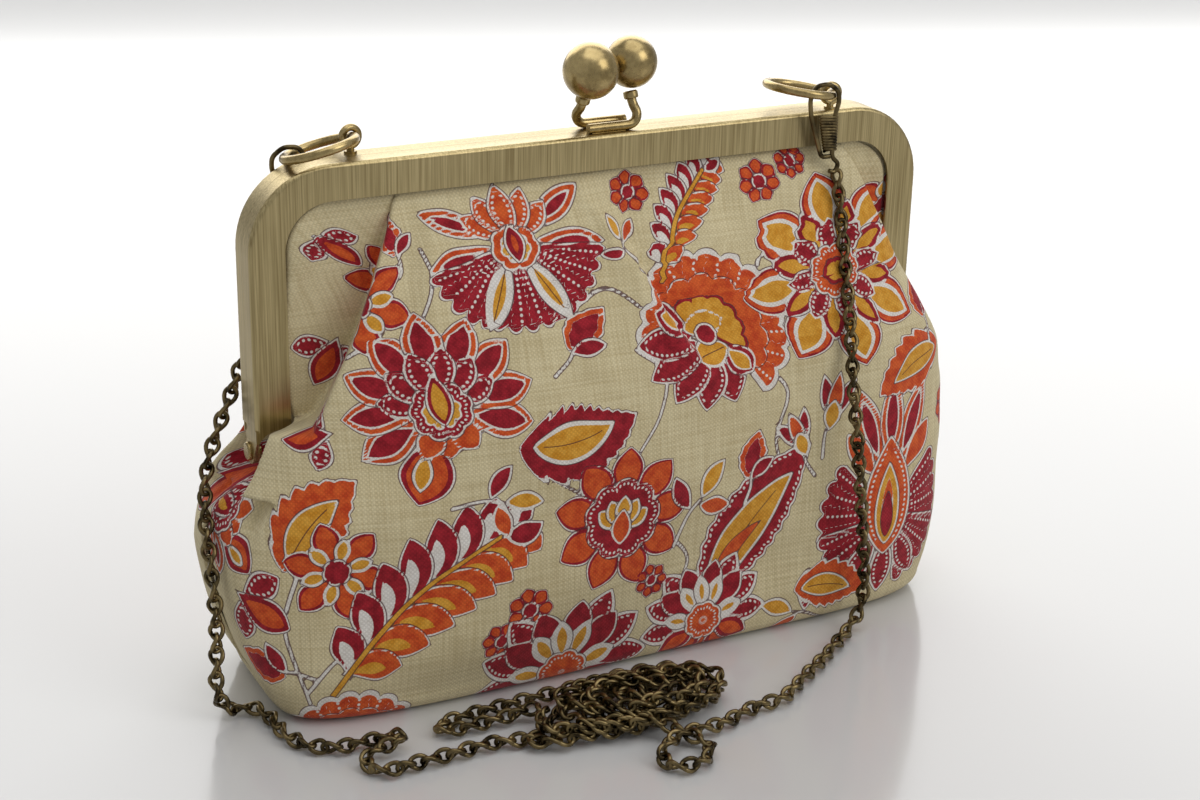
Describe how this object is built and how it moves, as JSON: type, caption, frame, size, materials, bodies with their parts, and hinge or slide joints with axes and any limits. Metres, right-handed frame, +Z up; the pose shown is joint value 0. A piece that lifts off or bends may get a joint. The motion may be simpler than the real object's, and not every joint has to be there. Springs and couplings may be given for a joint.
{
  "type": "kiss lock frame purse",
  "caption": "Soft fabric purse gathered into a hinged metal frame with a ball kiss lock, two eyes with rings, and a clip-on curb chain strap lying in front of it.",
  "frame": {"origin": "middle of the flat base on the surface that the purse stands on", "axes": "+X along the frame towards its right-hand limb seen from the front, -Y to the front half, +Z up; the chain is left out of the claim"},
  "size_m": [0.2285, 0.126, 0.1705],
  "materials": {
    "antique_brass": "brushed antique brass, dark in the hollows",
    "dark_chain": "dark antique brass plating, worn bright on the edges",
    "printed_linen": "cream linen and cotton canvas with a printed floral pattern, matte",
    "fleece": "white fusible fleece wadding",
    "lining": "plain beige cotton lining",
    "board": "stiff polypropylene bag base",
    "paper_cord": "twisted paper cord"
  },
  "bodies": {
    "bag": {"frame_back": "antique_brass", "hinge_rivet_left": "antique_brass", "hinge_rivet_right": "antique_brass", "clasp_stem_back": "antique_brass", "clasp_collar_back": "antique_brass", "clasp_ball_back": "antique_brass", "chain_eye_left": "antique_brass", "hook_left": "dark_chain", "hook_wrap_left": "dark_chain", "chain_left_run": "dark_chain", "chain_middle_run": "dark_chain", "chain_right_run": "dark_chain", "chain_fold": "dark_chain", "chain_heap": "dark_chain", "front_panel_lower": "printed_linen", "front_fleece_lower": "fleece", "front_lining_lower": "lining", "back_panel_lower": "printed_linen", "back_panel_upper": "printed_linen", "back_fleece_lower": "fleece", "back_fleece_upper": "fleece", "back_lining_lower": "lining", "back_lining_upper": "lining", "side_fold_left": "lining", "side_fold_right": "lining", "base_board": "board", "paper_cord_back": "paper_cord"},
    "front_half": {"frame_front": "antique_brass", "clasp_stem_front": "antique_brass", "clasp_collar_front": "antique_brass", "clasp_ball_front": "antique_brass", "chain_eye_right": "antique_brass", "hook_right": "dark_chain", "hook_wrap_right": "dark_chain", "front_panel_upper": "printed_linen", "front_fleece_upper": "fleece", "front_lining_upper": "lining", "paper_cord_front": "paper_cord"},
    "ring_left": {"ring_left": "antique_brass"},
    "ring_right": {"ring_right": "antique_brass"}
  },
  "joints": [
    {"name": "mouth_hinge", "type": "hinge", "parent": "bag", "child": "front_half", "pos_m": [0, 0, 0.07], "axis": [1, 0, 0], "range_deg": [0, 65], "deforming": ["chain_right_run", "side_fold_left", "side_fold_right"]},
    {"name": "ring_left_swing", "type": "hinge", "parent": "bag", "child": "ring_left", "pos_m": [-0.0693, 0.003, 0.1502], "axis": [-0.9355, 0.2354, -0.2635], "range_deg": [-5, 10]},
    {"name": "ring_right_swing", "type": "hinge", "parent": "front_half", "child": "ring_right", "pos_m": [0.0712, -0.003, 0.1502], "axis": [-0.5501, -0.8251, 0.129], "range_deg": [-30, 12]}
  ]
}
